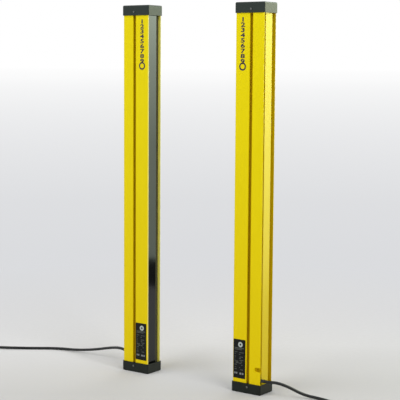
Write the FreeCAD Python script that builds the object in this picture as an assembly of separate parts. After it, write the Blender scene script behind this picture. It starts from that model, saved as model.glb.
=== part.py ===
import FreeCAD, Part

import math
import os

from FreeCAD import Rotation, Vector

os.makedirs("parts", exist_ok=True)

# A safety light curtain: an emitter and a receiver, two slim upright units that face each other.
# The emitter stands at -X and looks along +X, the receiver stands at +X and looks back at it.
# The floor is Z = 0, and the origin is midway between the two units. Millimetres throughout.
# Each piece is modelled in its unit's own frame, with the window towards +X and the unit's left
# side towards +Y, and is then set in its place in the pair.

# The pair
unit_height = 820.0
unit_spacing = 300.0  # between the middles of the two units

# The extruded body, one section all the way up
body_depth = 69.0  # front to back
body_width = 46.0
body_corner = 1.5
front_wall = 2.2  # side walls beside the window, and of the inner chambers

# Window channel in the front face
window_recess = 6.0
window_thickness = 3.0
window_gap = 0.15  # at each edge of the window
ledge_width = 3.0  # what the window's edges rest on
ledge_thickness = 3.0
seal_width = 1.6
seal_depth = 1.2

# T-slot in each side face
slot_from_rear = 30.7
slot_opening = 8.0
slot_lip = 2.0
pocket_width = 13.0
pocket_depth = 5.0
slot_wall = 1.6

# Rear face: a cable groove at each side of a raised land
rear_lip = 2.0
groove_width = 8.7
groove_depth = 14.0
land_drop = 2.9  # from the lips' edges to the face of the land
rear_wall = 2.0
notch_height = 9.3  # side outlet for a cable, through the left lip
notch_depth = 14.0
notch_z = 54.5
rib_thickness = 1.2  # guide ribs that hold the edge of the control board
rib_height = 2.0

# End caps and their gaskets
cap_height = 22.0
cap_wall = 1.8
cap_fit = 0.2  # round the body
cap_floor = 4.0
cap_corner = 3.0
cap_edge = 3.0
gasket_thickness = 1.5
gasket_margin = 0.3
gasket_rim = 9.0

# Cap screws and slot nuts
screw_from_cap_edge = 7.5
screw_radius = 1.25
screw_hole_gap = 0.15
head_radius = 2.25
head_height = 1.4
socket_radius = 0.8
socket_depth = 0.9
nut_length = 12.0
nut_thickness = 4.2
nut_fit = 0.15
thread_gap = 0.05

# Beams, optics and main board
first_beam = 70.0
beam_pitch = 40.0
optics_margin = 24.0  # from each end of the body to the boards and the optics
board_thickness = 1.6
board_gap = 0.3
optics_gap = 0.1
carrier_gap = 0.3
lens_base = 1.4
lens_sag = 1.2
lens_height = 26.0
lens_gap = 0.3  # between the lens strip and the sides of its opening
tunnel_back = 7.0  # a square tunnel's side at the diode
tunnel_front = 25.0  # and at the lens
carrier_wall = 1.5
diode_side = 4.6
diode_base = 1.6
diode_taper = 1.6
diode_tip = 2.4

# Control board, in the rear chamber
control_low = 64.0
control_length = 190.0
board_play = 0.15  # at each face of a board in its guide
link_depth = 2.4
link_width = 5.0
link_length = 30.0
capacitor_radius = 5.0
capacitor_gap = 1.6  # from a capacitor's top to the chamber's wall
capacitor_places = (85.0, 118.0)  # above the board's lower edge
chip_side = 10.0
chip_height = 1.6
chip_places = (53.0, 152.0)
terminal_depth = 12.0
terminal_gap = 1.5  # from the terminal to the chamber's wall
terminal_height = 14.0

# Strain relief, moulded onto the cable where it leaves the left rear groove
exit_z = 31.0
relief_gap = 0.15  # round the widest ring in its groove, and round the flange inside
relief_tip_radius = 3.6
relief_reach = 8.0  # past the rear lips
relief_flange = 1.2
relief_neck_gap = 0.1
relief_neck_radius = 3.5
relief_rings = 3
relief_groove = 1.6  # between two rings
relief_groove_depth = 0.6

# Cable
cable_radius = 3.2
cable_sides = 8
cable_length = 3000.0
coil_columns = 4  # turns beside each other
coil_layers = 3
coil_tail = 30.0  # straight stretch in which the cable joins the coil
tail_inset = 0.05  # keeps the stretch just inside the outermost turn
end_length = 22.0  # jacketed end that lies on the coil
end_offset = 31.0  # from the coil's middle
end_back = 14.0  # from the coil's middle line back to where the end starts
end_sink = 0.5
tie_width = 9.0
tie_thickness = 0.8
tie_places = (0, 110, 250)  # degrees round the coil from the side away from the cable
core_radius = 0.65
core_length = 34.0
core_step = 1.7
core_gap = 0.1
core_spacing = 1.4
core_sides = 6
core_counts = {"emitter": 5, "receiver": 8}
ferrule_radius = 0.5
ferrule_length = 8.0
core_fan_deg = 2.5
lead_spread = 1.4
lead_reach = 2.7  # from the strain relief's flange to where the leads go up

# Label on the front strip of one side face
label_height = 84.0
label_thickness = 0.4
label_margins = 4.1  # left beside the label, at its two sides together
label_from_front = {"emitter": 3.7, "receiver": 1.7}
label_sides = {"emitter": -1, "receiver": 1}  # +1 for the unit's left, so both face the same way
label_low = 30.0
label_corner = 1.5

# Routes of the two cables from the strain relief to the coil, each point chosen by hand. The first
# run goes straight out of the strain relief, and the last runs level along the coil's outer turn.
emitter_route = [
    (-205, 16.65, 31),
    (-227, 21, 33.8),
    (-265, 32, 29.6),
    (-322, 36.5, 15.8),
    (-384, 41, 5),
    (-440, 33, 3.2),
    (-492, -7, 3.2),
    (-550, -47, 4),
    (-618, -75, 4),
]
receiver_route = [
    (205, -16.65, 31),
    (222, -13.6, 32),
    (243, -4, 25),
    (270, 14, 8),
    (303, 26, 3.2),
    (341, 16, 3.2),
    (392, 16, 4),
    (440, 12, 4),
]

# Places worked out from the sizes above, in a unit's own frame
front_x = body_depth / 2
rear_x = -front_x
side_y = body_width / 2
window_front = front_x - window_recess
window_back = window_front - window_thickness
ledge_back = window_back - ledge_thickness
channel_y = side_y - front_wall
ledge_y = channel_y - ledge_width
slot_x = rear_x + slot_from_rear
pocket_out_y = side_y - slot_lip
pocket_in_y = pocket_out_y - pocket_depth
neck_y = pocket_in_y - slot_wall
chamber_rear_x = slot_x - pocket_width / 2 - slot_wall
chamber_front_x = slot_x + pocket_width / 2 + slot_wall
groove_out_y = side_y - rear_lip
land_y = groove_out_y - groove_width
groove_y = (groove_out_y + land_y) / 2
groove_floor_x = rear_x + groove_depth
land_x = rear_x + land_drop
rear_chamber_x = land_x + rear_wall
rear_chamber_y = land_y - rear_wall
side_chamber_x = groove_floor_x + rear_wall
body_low = cap_floor + gasket_thickness
body_high = unit_height - body_low
cap_x = front_x + cap_fit + cap_wall
cap_y = side_y + cap_fit + cap_wall
screw_z = cap_height - screw_from_cap_edge
optics_low = body_low + optics_margin
optics_high = body_high - optics_margin
board_back = chamber_front_x + board_gap
board_front = board_back + board_thickness
carrier_back = board_front + optics_gap
carrier_front = ledge_back - optics_gap
lens_back = ledge_back + optics_gap
beam_count = int((optics_high - lens_height / 2 - first_beam) / beam_pitch) + 1
beams = [first_beam + beam_pitch * i for i in range(beam_count)]
control_back = rear_chamber_x + board_play
control_front = board_back - link_depth
relief_tip_x = rear_x - relief_reach
label_width = front_x - slot_x - slot_opening / 2 - label_margins
relief_radius = groove_width / 2 - relief_gap
relief_flange_radius = channel_y - groove_y - relief_gap
capacitor_height = neck_y - board_thickness / 2 - capacitor_gap
terminal_width = rear_chamber_y - board_thickness / 2 - terminal_gap
X, Y, Z = Vector(1, 0, 0), Vector(0, 1, 0), Vector(0, 0, 1)


def rectangle(x0, x1, y0, y1, radius=0.0):
    """A flat face in the XY plane, with its corners rounded if a radius is given."""
    if radius <= 0:
        points = [Vector(x0, y0), Vector(x1, y0), Vector(x1, y1), Vector(x0, y1), Vector(x0, y0)]
        return Part.Face(Part.makePolygon(points))
    edges = []
    middles = [(x1 - radius, y0 + radius), (x1 - radius, y1 - radius)]
    middles += [(x0 + radius, y1 - radius), (x0 + radius, y0 + radius)]
    for i, (cx, cy) in enumerate(middles):
        start = -90 + 90 * i
        edges.append(Part.makeCircle(radius, Vector(cx, cy), Z, start, start + 90))
    corners = []
    for i, arc in enumerate(edges):
        after = edges[(i + 1) % 4]
        corners += [arc, Part.makeLine(arc.Vertexes[-1].Point, after.Vertexes[0].Point)]
    return Part.Face(Part.Wire(corners))


def upright(face, low, high):
    """The face carried from one height to another."""
    solid = face.extrude(Z * (high - low))
    solid.translate(Z * low)
    return solid


def block(x0, x1, y0, y1, z0, z1):
    return Part.makeBox(x1 - x0, y1 - y0, z1 - z0, Vector(x0, y0, z0))


def both_sides(face):
    """The face and its mirror image across the unit's middle plane."""
    return [face, face.mirror(Vector(), Y)]


def spun(points, axis_point, axis):
    """The closed outline of the points, turned once round the axis."""
    wire = Part.makePolygon(points + [points[0]])
    return Part.Face(wire).revolve(axis_point, axis, 360)


def body_section():
    """The body's section: an open channel in front, a T-slot at each side, two grooves behind."""
    past = body_corner
    outline = rectangle(rear_x, front_x, -side_y, side_y, body_corner)
    land_step = rectangle(rear_x - past, land_x, -groove_out_y, groove_out_y)
    cuts = [rectangle(window_back, front_x + past, -channel_y, channel_y), land_step]
    half_open, half_pocket = slot_opening / 2, pocket_width / 2
    slot = rectangle(slot_x - half_open, slot_x + half_open, pocket_in_y, side_y + past)
    pocket = rectangle(slot_x - half_pocket, slot_x + half_pocket, pocket_in_y, pocket_out_y)
    groove = rectangle(rear_x - past, groove_floor_x, land_y, groove_out_y)
    seal_y = (channel_y + ledge_y) / 2
    seal_groove = rectangle(
        window_back - seal_depth, window_back + past, seal_y - seal_width / 2, seal_y + seal_width / 2
    )
    for face in (slot, pocket, groove, seal_groove):
        cuts += both_sides(face)
    return outline.cut(cuts + inner_chambers())


def inner_chambers():
    """The section's hollow: optics in front, a neck between the T-slots, boards behind."""
    ribs = []
    rib_in = board_thickness / 2 + board_play
    rib = rectangle(
        rear_chamber_x - rear_wall / 2, rear_chamber_x + rib_height, rib_in, rib_in + rib_thickness
    )
    ribs += both_sides(rib)
    faces = [
        rectangle(ledge_back, window_back, -ledge_y, ledge_y),
        rectangle(chamber_front_x, ledge_back, -channel_y, channel_y),
        rectangle(chamber_rear_x, chamber_front_x, -neck_y, neck_y),
        rectangle(side_chamber_x, chamber_rear_x, -channel_y, channel_y),
        rectangle(rear_chamber_x, side_chamber_x, -rear_chamber_y, rear_chamber_y),
    ]
    hollow = faces[0].fuse(faces[1:])
    return [hollow.cut(ribs)]


def housing():
    """The section drawn out to the body's length, with the side outlet and the cable hole."""
    body = upright(body_section(), body_low, body_high)
    radius = notch_height / 2
    middle_x = rear_x + notch_depth - radius
    through = rear_lip + groove_width / 2
    outlet = Part.makeCylinder(radius, through, Vector(middle_x, groove_y, notch_z), Y)
    slit = block(
        rear_x - radius, middle_x, groove_y, groove_y + through, notch_z - radius, notch_z + radius
    )
    hole_radius = relief_neck_radius + relief_neck_gap
    start = Vector(groove_floor_x - rear_wall / 2, groove_y, exit_z)
    hole = Part.makeCylinder(hole_radius, 2 * rear_wall, start, X)
    return body.cut([outlet.fuse(slit), hole]).removeSplitter()


def front_window():
    """The dark strip that lets the beams through, resting on the ledges of the front channel."""
    reach = channel_y - window_gap
    return upright(rectangle(window_back, window_front, -reach, reach), body_low, body_high)


def window_seal(side):
    """One rubber cord in its groove behind the window's edge; side is +1 for left, -1 for right."""
    seal_y = (channel_y + ledge_y) / 2
    y0, y1 = sorted(side * (seal_y + half) for half in (-seal_width / 2, seal_width / 2))
    return upright(rectangle(window_back - seal_depth, window_back, y0, y1), body_low, body_high)


def cap():
    """The lower end cap: a cup round the body's end, with a screw hole in each side."""
    outer = upright(rectangle(-cap_x, cap_x, -cap_y, cap_y, cap_corner), 0, cap_height)
    bottom = [e for e in outer.Edges if e.BoundBox.ZMax < 1e-6]
    outer = outer.makeFillet(cap_edge, bottom)
    inside = rectangle(
        rear_x - cap_fit, front_x + cap_fit, -side_y - cap_fit, side_y + cap_fit, body_corner + cap_fit
    )
    hole = Part.makeCylinder(
        screw_radius + screw_hole_gap, 2 * cap_y + 2, Vector(slot_x, -cap_y - 1, screw_z), Y
    )
    return outer.cut([upright(inside, cap_floor, cap_height + 1), hole])


def gasket():
    """The flat seal between the lower cap's floor and the end of the body."""
    x, y = front_x - gasket_margin, side_y - gasket_margin
    ring = rectangle(-x, x, -y, y, body_corner)
    opening = rectangle(-x + gasket_rim, x - gasket_rim, -y + gasket_rim, y - gasket_rim)
    return upright(ring.cut(opening), cap_floor, body_low)


def cap_screw():
    """The lower left cap screw: pan head on the cap, shank into the slot nut."""
    shank_end = pocket_in_y + (pocket_depth - nut_thickness) / 2
    y = cap_y
    profile = [
        Vector(slot_x, shank_end, screw_z),
        Vector(slot_x + screw_radius, shank_end, screw_z),
        Vector(slot_x + screw_radius, y, screw_z),
        Vector(slot_x + head_radius, y, screw_z),
        Vector(slot_x + head_radius, y + head_height, screw_z),
        Vector(slot_x, y + head_height, screw_z),
    ]
    screw = spun(profile, Vector(slot_x, 0, screw_z), Y)
    corners = []
    for i in range(7):
        angle = math.radians(60 * i)
        corners.append(
            Vector(
                slot_x + socket_radius * math.cos(angle),
                y + head_height - socket_depth,
                screw_z + socket_radius * math.sin(angle),
            )
        )
    return screw.cut(Part.Face(Part.makePolygon(corners)).extrude(Y * (socket_depth + 1)))


def slot_nut():
    """The lower left slot nut, a threaded block behind the T-slot's lips."""
    half = pocket_width / 2 - nut_fit
    out_y = pocket_out_y - nut_fit
    face = rectangle(slot_x - half, slot_x + half, out_y - nut_thickness, out_y)
    nut = upright(face, screw_z - nut_length / 2, screw_z + nut_length / 2)
    start = Vector(slot_x, out_y - nut_thickness - 1, screw_z)
    return nut.cut(Part.makeCylinder(screw_radius + thread_gap, nut_thickness + 2, start, Y))


def four(piece):
    """The piece at both sides of both ends of a unit."""
    low = [piece, piece.mirror(Vector(), Y)]
    return low + [p.mirror(Z * (unit_height / 2), Z) for p in low]


def lens_strip():
    """A clear strip, drawn across from a side outline that swells into a lens at each beam."""
    half = ledge_y - lens_gap
    front = lens_back + lens_base
    edges = []
    at = Vector(front, 0, optics_low)
    for beam in beams:
        low = Vector(front, 0, beam - lens_height / 2)
        high = Vector(front, 0, beam + lens_height / 2)
        edges.append(Part.makeLine(at, low))
        edges.append(Part.Arc(low, Vector(front + lens_sag, 0, beam), high).toShape())
        at = high
    corners = [
        at,
        Vector(front, 0, optics_high),
        Vector(lens_back, 0, optics_high),
        Vector(lens_back, 0, optics_low),
        Vector(front, 0, optics_low),
    ]
    edges += Part.makePolygon(corners).Edges
    outline = Part.Face(Part.Wire(edges))
    outline.translate(Y * -half)
    return outline.extrude(Y * 2 * half)


def frustum(base_x, base, tip_x, tip, middle_z):
    """A square block on the unit's middle plane that narrows or widens along X."""
    b, t = base / 2, tip / 2
    solid = Part.makeWedge(-b, 0, -b, -t, -t, b, tip_x - base_x, b, t, t)
    solid.rotate(Vector(), Z, -90)
    solid.translate(Vector(base_x, 0, middle_z))
    return solid


def optics_carrier():
    """The moulded bar behind the lenses, with a widening tunnel for each beam and cored between."""
    half = channel_y - carrier_gap
    bar = upright(rectangle(carrier_back, carrier_front, -half, half), optics_low, optics_high)
    tunnels = [frustum(carrier_back, tunnel_back, carrier_front, tunnel_front, z) for z in beams]
    wall = carrier_wall
    cores = []
    for low, high in zip(beams, beams[1:]):
        z0, z1 = low + tunnel_front / 2 + wall, high - tunnel_front / 2 - wall
        cores.append(block(carrier_back, carrier_front - wall, wall - half, half - wall, z0, z1))
    return bar.cut(tunnels + cores)


def circuit_board():
    half = channel_y - carrier_gap
    return upright(rectangle(board_back, board_front, -half, half), optics_low, optics_high)


def beam_diodes():
    """One square diode on the main board for each beam, its clear front tapered to the tip."""
    shoulder = board_front + diode_base
    half = diode_side / 2
    diodes = []
    for beam in beams:
        base = block(board_front, shoulder, -half, half, beam - half, beam + half)
        front = frustum(shoulder, diode_side, shoulder + diode_taper, diode_tip, beam)
        diodes.append(base.fuse(front).removeSplitter())
    return diodes


def control_board():
    """The board that runs the unit, edge on in the ribs of the rear chamber."""
    half = board_thickness / 2
    face = rectangle(control_back, control_front, -half, half)
    return upright(face, control_low, control_low + control_length)


def board_link():
    """The header that joins the control board's edge to the back of the main board."""
    middle = control_low + control_length / 2
    return block(
        control_front,
        board_back,
        -link_width / 2,
        link_width / 2,
        middle - link_length / 2,
        middle + link_length / 2,
    )


def control_components():
    """Capacitors and chips on the two faces of the control board."""
    face_y = board_thickness / 2
    parts = []
    for place in capacitor_places:
        start = Vector(slot_x, face_y, control_low + place)
        parts.append(Part.makeCylinder(capacitor_radius, capacitor_height, start, Y))
    for side in (-1, 1):
        for place in chip_places:
            y0, y1 = sorted((side * face_y, side * (face_y + chip_height)))
            x0 = slot_x - chip_side / 2
            low = control_low + place - chip_side / 2
            parts.append(block(x0, x0 + chip_side, y0, y1, low, low + chip_side))
    return parts


def lead_terminal():
    """The block on the control board that the cable's leads plug into."""
    y0 = board_thickness / 2
    x0 = side_chamber_x - terminal_depth / 2
    return block(
        x0, x0 + terminal_depth, y0, y0 + terminal_width, control_low, control_low + terminal_height
    )


def inner_leads():
    """Leads from the inner end of the strain relief, turned up to the terminal in two steps."""
    start_x = side_chamber_x + relief_flange
    terminal_y = (board_thickness + terminal_width) / 2
    leads = []
    for dy, dz in ((0, 0), (lead_spread, 0), (-lead_spread, 0), (0, lead_spread), (0, -lead_spread)):
        start = Vector(start_x, groove_y + dy, exit_z + dz)
        end = Vector(start_x + lead_reach + dz / 2, terminal_y + dy, control_low - core_radius)
        first = start + X * lead_reach / 2
        rise = Vector(0, end.y - start.y, end.z - start.z).normalize() * lead_reach
        second = Vector(end.x, start.y, start.z) + rise
        leads.append(mitred([start, first, second, end], core_radius, core_sides))
    return leads


def strain_relief():
    """A sleeve moulded on the cable, in rings that shrink towards its tip.

    Its neck sits in the groove's floor.
    """
    inner = side_chamber_x
    neck_out = groove_floor_x
    outline = [
        (inner + relief_flange, 0),
        (inner + relief_flange, relief_flange_radius),
        (inner, relief_flange_radius),
        (inner, relief_neck_radius),
        (neck_out, relief_neck_radius),
    ]
    step = (neck_out - relief_tip_x + relief_groove) / relief_rings
    shrink = (relief_radius - relief_tip_radius) / (relief_rings - 1)
    for i in range(relief_rings):
        start = neck_out - step * i
        end = start - step + relief_groove
        radius = relief_radius - shrink * i
        outline += [(start, radius), (end, radius)]
        if i < relief_rings - 1:
            groove_radius = radius - relief_groove_depth
            outline += [(end, groove_radius), (end - relief_groove, groove_radius)]
    outline.append((relief_tip_x, 0))
    points = [Vector(x, groove_y + r, exit_z) for x, r in outline]
    return spun(points, Vector(0, groove_y, exit_z), X)


def label_plate(unit):
    """The thin plate on the front strip of the side face that has the label."""
    x1 = front_x - label_from_front[unit]
    x0 = x1 - label_width
    outline = rectangle(x0, x1, label_low, label_low + label_height, label_corner)
    outline.rotate(Vector(), X, 90)
    outline.translate(Y * side_y)
    plate = outline.extrude(Y * label_thickness)
    return plate if label_sides[unit] > 0 else plate.mirror(Vector(), Y)


def mitred(route, radius, sides):
    """A bar with flat sides along straight runs that meet in mitres."""
    section = Part.makePolygon(ring_points(route[0], route[1] - route[0], radius, sides))
    return Part.makePolygon(route).makePipeShell([section], True, False, 1)


def ring_points(middle, normal, radius, count):
    """A closed ring of points round the middle, square to the normal."""
    side = normal.cross(Z if abs(normal.z) < 0.9 * normal.Length else X).normalize() * radius
    other = side.cross(normal).normalize() * radius
    angles = [2 * math.pi * i / count for i in range(count + 1)]
    return [middle + side * math.cos(a) + other * math.sin(a) for a in angles]


def tube(route, radius, sides, name):
    """A many-sided tube along straight runs joined by tangent arcs; gives it and its path's length.

    Each arc's radius is 0.45 of the shorter run beside it over the tangent of half the turn.
    """
    edges = []
    radii = []
    at = route[0]
    for before, corner, after in zip(route, route[1:], route[2:]):
        to_corner, from_corner = corner - before, after - corner
        back = 0.45 * min(to_corner.Length, from_corner.Length)
        turn = to_corner.getAngle(from_corner)
        radii.append(back / math.tan(turn / 2))
        into, out = Vector(to_corner).normalize(), Vector(from_corner).normalize()
        start, end = corner - into * back, corner + out * back
        inwards = (out - into).normalize()
        to_middle = radii[-1] / math.cos(turn / 2) - radii[-1]
        edges.append(Part.LineSegment(at, start).toShape())
        edges.append(Part.Arc(start, corner + inwards * to_middle, end).toShape())
        at = end
    edges.append(Part.LineSegment(at, route[-1]).toShape())
    path = Part.Wire(edges)
    section = Part.Face(Part.makePolygon(ring_points(route[0], route[1] - route[0], radius, sides)))
    solid = path.makePipe(section)
    share = solid.Volume / (section.Area * path.Length)
    print(name, "radii", [round(r, 1) for r in radii], "volume share", round(share, 4))
    return solid, path.Length


def prism(start, along, radius, length, sides):
    """A straight bar with flat sides, from start along a direction."""
    return Part.Face(Part.makePolygon(ring_points(start, along, radius, sides))).extrude(along * length)


def cable(exit_point, hand_route, core_count, name):
    """The free cable of one unit, its coil, the coil's ties and the bare leads at its end.

    The cable runs onto the coil's outermost turn along the route's last run, and the coil's middle
    lies to the right of that run.
    """
    route = [exit_point] + [Vector(*p) for p in hand_route]
    run, run_length = tube(route, cable_radius, cable_sides, name)
    joint = route[-1]
    along = (joint - route[-2]).normalize()
    turns = coil_columns * coil_layers
    wound = cable_length - run_length - coil_tail - end_length
    mean = wound / (2 * math.pi * turns)
    half_width = coil_columns * cable_radius
    height = 2 * coil_layers * cable_radius
    across = Vector(along.y, -along.x)
    middle = joint + along * coil_tail + across * (mean + half_width - cable_radius)
    middle.z = 0
    base, top = tie_thickness, tie_thickness + height
    section = rectangle(mean - half_width, mean + half_width, base, top)
    section.rotate(Vector(), X, 90)
    ring = section.revolve(Vector(), Z, 360)
    ring.translate(middle)
    tail = Part.makeCylinder(cable_radius - tail_inset, coil_tail, joint, along)
    end_start = middle - across * end_offset - along * end_back
    end_start.z = top + cable_radius - end_sink
    end = Part.makeCylinder(cable_radius, end_length, end_start, along)
    coil = ring.fuse([tail, end]).removeSplitter()
    print(name, "coil: turns", turns, "mean width over the cable's", round(mean / cable_radius, 2))
    tie = tie_band(mean, half_width, base, top)
    ties = []
    for degrees in tie_places:
        band = tie.copy()
        band.rotate(Vector(), Z, math.degrees(math.atan2(across.y, across.x)) - degrees)
        band.translate(middle)
        ties.append(band)
    cores = bare_cores(end_start + along * (end_length + core_gap), along, core_count)
    return run, coil, ties, cores


def tie_band(mean, half_width, base, top):
    """A hook-and-loop strap wrapped round the bundle of turns."""
    low, high = mean - half_width, mean + half_width
    inner = rectangle(low, high, base, top)
    wrap = tie_thickness
    outer = rectangle(low - wrap, high + wrap, base - wrap, top + wrap)
    band = outer.cut(inner)
    band.rotate(Vector(), X, 90)
    angle = math.degrees(tie_width / mean)
    band.rotate(Vector(), Z, -angle / 2)
    return band.revolve(Vector(), Z, angle)


def bare_cores(start, along, count):
    """The stripped cores at the cable's end, each with its crimped ferrule, fanned a little."""
    across = Vector(-along.y, along.x)
    upper = (count + 1) // 2
    cores = []
    for row, in_row in enumerate((upper, count - upper)):
        for place in range(in_row):
            from_middle = place - (in_row - 1) / 2
            direction = Rotation(Z, core_fan_deg * from_middle).multVec(along)
            origin = start + across * (core_spacing * from_middle) + Z * ((0.5 - row) * core_step)
            core = prism(origin, direction, core_radius, core_length, core_sides)
            tip = origin + direction * core_length
            cores.append(core.fuse(prism(tip, direction, ferrule_radius, ferrule_length, core_sides)))
    return cores


def gathered(pieces):
    return Part.makeCompound(pieces) if isinstance(pieces, list) else pieces


def unit_pieces(unit):
    """Every piece of one unit in the unit's own frame, by name."""
    low_cap, low_gasket = cap(), gasket()
    middle = Z * (unit_height / 2)
    return {
        "housing": housing(),
        "front_window": front_window(),
        "window_seal_left": window_seal(1),
        "window_seal_right": window_seal(-1),
        "top_cap": low_cap.mirror(middle, Z),
        "bottom_cap": low_cap,
        "top_gasket": low_gasket.mirror(middle, Z),
        "bottom_gasket": low_gasket,
        "cap_screws": four(cap_screw()),
        "slot_nuts": four(slot_nut()),
        "lens_strip": lens_strip(),
        "optics_carrier": optics_carrier(),
        "circuit_board": circuit_board(),
        "beam_diodes": beam_diodes(),
        "control_board": control_board(),
        "board_link": board_link(),
        "control_components": control_components(),
        "lead_terminal": lead_terminal(),
        "inner_leads": inner_leads(),
        "strain_relief": strain_relief(),
        "label_plate": label_plate(unit),
    }


def in_pair(shape, unit):
    """Sets a piece of a unit in its place in the pair."""
    placed = shape.copy()
    if unit == "receiver":
        placed.rotate(Vector(), Z, 180)
        placed.translate(X * (unit_spacing / 2))
    else:
        placed.translate(X * (-unit_spacing / 2))
    return placed


def save(name, shape):
    shape.exportStep("parts/" + name + ".step")


cable_routes = {"emitter": emitter_route, "receiver": receiver_route}
for unit, route in cable_routes.items():
    for piece, shape in unit_pieces(unit).items():
        save(unit + "_" + piece, in_pair(gathered(shape), unit))
    exit_point = in_pair(Part.Vertex(relief_tip_x, groove_y, exit_z), unit).Point
    run, coil, ties, cores = cable(exit_point, route, core_counts[unit], unit + "_cable")
    save(unit + "_cable", run)
    save(unit + "_cable_coil", coil)
    save(unit + "_coil_ties", gathered(ties))
    save(unit + "_cable_cores", gathered(cores))
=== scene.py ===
import math

import bmesh
import bpy
import numpy as np
from bpy.props import FloatProperty, FloatVectorProperty, IntProperty, PointerProperty
from mathutils import Matrix, Vector


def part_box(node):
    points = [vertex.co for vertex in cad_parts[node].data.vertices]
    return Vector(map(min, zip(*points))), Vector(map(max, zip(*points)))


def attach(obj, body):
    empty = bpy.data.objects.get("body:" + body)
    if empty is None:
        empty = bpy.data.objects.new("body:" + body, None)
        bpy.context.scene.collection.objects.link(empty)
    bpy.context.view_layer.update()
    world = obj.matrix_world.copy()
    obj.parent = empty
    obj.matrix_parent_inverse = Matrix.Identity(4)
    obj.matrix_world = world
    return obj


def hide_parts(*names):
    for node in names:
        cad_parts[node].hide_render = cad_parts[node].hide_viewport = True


bl_info = {
    "name": "Light Curtain Looks",
    "version": (1, 0, 0),
    "blender": (4, 5, 0),
    "location": "3D View > Sidebar > Light Curtain",
    "description": "Finishes, cables, marks and stage for a pair of light curtain units",
    "category": "Object",
}

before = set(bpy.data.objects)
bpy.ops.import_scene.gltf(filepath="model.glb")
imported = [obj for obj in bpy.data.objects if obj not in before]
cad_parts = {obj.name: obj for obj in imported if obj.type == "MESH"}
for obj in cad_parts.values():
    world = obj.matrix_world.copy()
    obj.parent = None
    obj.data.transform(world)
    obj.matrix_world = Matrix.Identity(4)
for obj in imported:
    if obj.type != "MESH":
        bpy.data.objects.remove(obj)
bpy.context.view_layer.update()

UNITS = ("emitter", "receiver")
MM = 0.001


def colour(name, description, default):
    """A colour property in linear red, green and blue."""
    return FloatVectorProperty(
        name=name, description=description, default=default, subtype="COLOR", size=3, min=0, max=1
    )


def length(name, description, default):
    """A length property in metres."""
    return FloatProperty(
        name=name, description=description, default=default, min=0, unit="LENGTH", precision=5
    )


def angle(name, description, degrees):
    """An angle property, whose default is given in degrees."""
    return FloatProperty(
        name=name, description=description, default=math.radians(degrees), unit="ROTATION"
    )


def power(name, description, default):
    """A lamp's power in watts."""
    return FloatProperty(name=name, description=description, default=default, min=0, unit="POWER")


def number(name, description, default, low=0.0, high=1.0):
    """A plain number property."""
    return FloatProperty(name=name, description=description, default=default, min=low, max=high)


class LightCurtainFinishes(bpy.types.PropertyGroup):
    """Colours and gloss of the two units."""

    enamel: colour("Enamel", "Powder coat of the bodies near their tops", (0.76, 0.63, 0.002))
    # painted shade: the coat's colour low down, darker for less light near the floor
    enamel_low: colour(
        "Enamel low down", "Powder coat of the bodies near the foot", (0.725, 0.540, 0.001)
    )
    # painted shade: the darker coat down in the slots and grooves
    recess: colour("Enamel in slots", "Thin, dusty coat down in the slots", (0.57, 0.37, 0.001))
    enamel_roughness: number("Enamel roughness", "Roughness of the powder coat", 0.26)
    cap_plastic: colour("Bottom caps", "Moulded plastic of the bottom caps", (0.003, 0.005, 0.004))
    # painted light: the top caps' paler colour, which also tints the random mottle
    cap_top: colour("Top caps", "Moulded plastic of the top caps", (0.018, 0.026, 0.024))
    cap_roughness: number("Cap roughness", "Roughness of the end caps", 0.42)
    window: colour("Window", "Dark sheet that lets the beams through", (0.0045, 0.005, 0.005))
    window_roughness: number("Window roughness", "Roughness of the front window", 0.07)
    ink: colour("Ink", "Printed numerals on the bodies", (0.018, 0.010, 0.014))
    label: colour("Label film", "Ground of the labels", (0.0020, 0.0028, 0.0026))
    label_print: colour("Label print", "Pale ring on the labels", (0.36, 0.41, 0.38))
    jacket: colour("Cable jacket", "Jacket of the cables", (0.009, 0.010, 0.010))
    solder_mask: colour("Solder mask", "Coating of the circuit boards", (0.01, 0.09, 0.035))


class LightCurtainSizes(bpy.types.PropertyGroup):
    """Sizes of the cables, numerals and labels."""

    cable_length: length("Cable length", "Length of each cable", 3.0)
    cable_diameter: length("Cable diameter", "Diameter over the jacket", 0.0064)
    turn_points: IntProperty(
        name="Points in a turn", description="Control points in each turn of a coil", default=20,
        min=12,
    )
    numeral_pitch: length("Numeral pitch", "From one numeral to the next below", 0.0107)
    numeral_height: length("Numeral height", "Height of a numeral", 0.0086)
    print_thickness: length("Print thickness", "How far print stands proud", 0.00006)


class LightCurtainStage(bpy.types.PropertyGroup):
    """Camera, floor and lamps."""

    camera_place: FloatVectorProperty(
        name="Camera", description="Place of the camera", default=(1.5474, -2.1293, 0.6875),
        subtype="TRANSLATION", unit="LENGTH",
    )
    camera_turn: angle("Turn", "Turn of the view to the left of +Y", 35.832)
    camera_dip: angle("Dip", "Dip of the view below level", 6.242)
    camera_roll: angle("Roll", "Roll about the view's own line", 0.384)
    lens: FloatProperty(
        name="Lens", description="Focal length in millimetres", default=109.85, min=1, unit="CAMERA"
    )
    floor: colour("Floor", "Pale floor in front of the pair", (0.590, 0.590, 0.580))
    # painted light: the floor behind the pair is paler, for light that falls there
    floor_behind: colour("Floor behind", "Pale floor behind the pair", (0.765, 0.765, 0.762))
    floor_radius: length("Floor radius", "Radius of the floor", 400.0)
    sky: number("Fill light", "Strength of the light from all round", 0.50, high=4)
    key: power("Key lamp", "Power of the key lamp", 71)
    side: power("Side lamp", "Power of the side lamp", 60)
    back: power("Back lamp", "Power of the back lamp", 30)


def finishes():
    """The scene's colours and gloss."""
    return bpy.context.scene.light_curtain_finishes


def sizes():
    """The scene's sizes of cables and print."""
    return bpy.context.scene.light_curtain_sizes


def stage_settings():
    """The scene's camera, floor and lamp settings."""
    return bpy.context.scene.light_curtain_stage


# Node trees


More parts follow.
